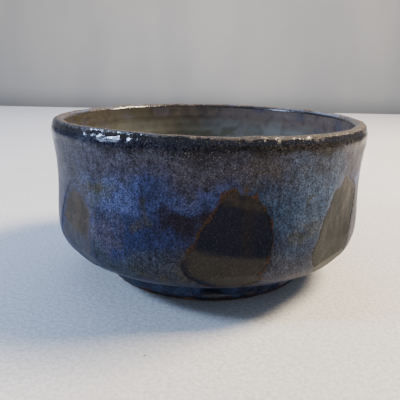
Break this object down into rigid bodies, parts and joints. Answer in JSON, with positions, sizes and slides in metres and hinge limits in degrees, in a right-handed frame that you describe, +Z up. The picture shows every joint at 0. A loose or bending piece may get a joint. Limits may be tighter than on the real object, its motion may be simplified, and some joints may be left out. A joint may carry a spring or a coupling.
{
  "type": "yarn bowl",
  "caption": "Round footed stoneware bowl with a plain unbroken rim, leaf-shaped cut windows round a slightly waisted wall, a turned foot ring and separate glaze coats.",
  "frame": {"origin": "centre of the foot's resting face", "axes": "+Z up along the bowl's axis, -Y towards the side with one cut window nearly in the middle"},
  "size_m": [0.13, 0.13, 0.065],
  "materials": {
    "clay": "fired, unglazed stoneware, matte and slightly gritty",
    "foot_clay": "bare stoneware, toasted rust-brown, matte",
    "iron_glaze": "dark iron glaze, breaking brown where thin, glossy",
    "blue_glaze": "mottled blue and violet rutile glaze over iron, glossy",
    "lip_glaze": "thin glaze broken to rust-brown, glossy",
    "rim_glaze": "dark blue glaze, glossy",
    "liner_glaze": "grey-green to blue-grey glaze, satin gloss",
    "foot_glaze": "navy glaze, glossy",
    "recess_glaze": "thin dark glaze, satin"
  },
  "bodies": {
    "root": {"clay_bowl": "clay", "foot_ring": "foot_clay", "iron_base_glaze": "iron_glaze", "blue_over_glaze": "blue_glaze", "lip_glaze": "lip_glaze", "rim_overlap_glaze": "rim_glaze", "liner_glaze": "liner_glaze", "foot_glaze": "foot_glaze", "recess_glaze": "recess_glaze"}
  },
  "joints": []
}
